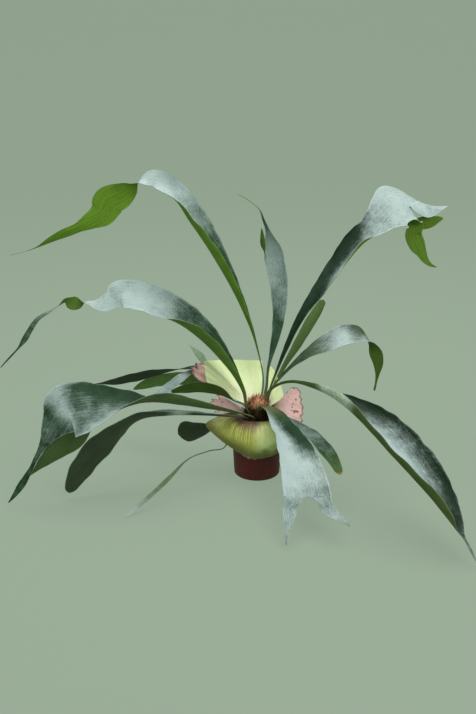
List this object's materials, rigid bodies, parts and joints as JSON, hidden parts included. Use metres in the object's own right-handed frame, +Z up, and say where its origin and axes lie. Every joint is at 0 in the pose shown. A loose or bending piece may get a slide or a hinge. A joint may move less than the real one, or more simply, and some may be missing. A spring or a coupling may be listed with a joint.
{
  "type": "potted staghorn fern",
  "caption": "A staghorn fern in a small plain dark red-brown plant pot, with long arching forked fronds and clasping shield fronds.",
  "frame": {"origin": "middle of the pot's flat foot", "axes": "+Z up out of the pot, -Y toward the viewer of the reference view, +X toward the viewer's right"},
  "size_m": [0.859, 0.5925, 0.6147],
  "materials": {
    "leaf": "matt, mealy grey-white felt over dark green, plain green below",
    "shield_green": "satin, finely ribbed yellow-green",
    "shield_pale": "satin, finely ribbed pale yellow-green",
    "shield_dry": "matt, papery and veined, pinkish tan",
    "scale": "matt, papery orange-brown scales",
    "bark": "matt, rough bark and moss",
    "pot_plastic": "matt, dark red-brown moulded plastic"
  },
  "bodies": {
    "root": {"pot": "pot_plastic", "potting_mix": "bark", "crown": "scale", "shield_front": "shield_green", "shield_rear": "shield_pale", "shield_right": "shield_pale", "old_shield_front": "shield_dry", "old_shield_rear": "shield_dry", "old_shield_right": "shield_dry", "old_shield_left": "shield_dry", "old_shield_back": "shield_dry", "frond_top_left": "leaf", "frond_left_arch": "leaf", "frond_upright": "leaf", "frond_top_right": "leaf", "frond_right_short": "leaf", "frond_right_mid": "leaf", "frond_right_long": "leaf", "frond_front": "leaf", "frond_front_right": "leaf", "frond_left_broad": "leaf", "frond_left_low": "leaf", "frond_left_back_forked": "leaf", "frond_left_back_green": "leaf", "frond_left_back_olive": "leaf", "frond_left_under_small": "leaf", "frond_left_thin": "leaf", "frond_young": "leaf"}
  },
  "joints": []
}
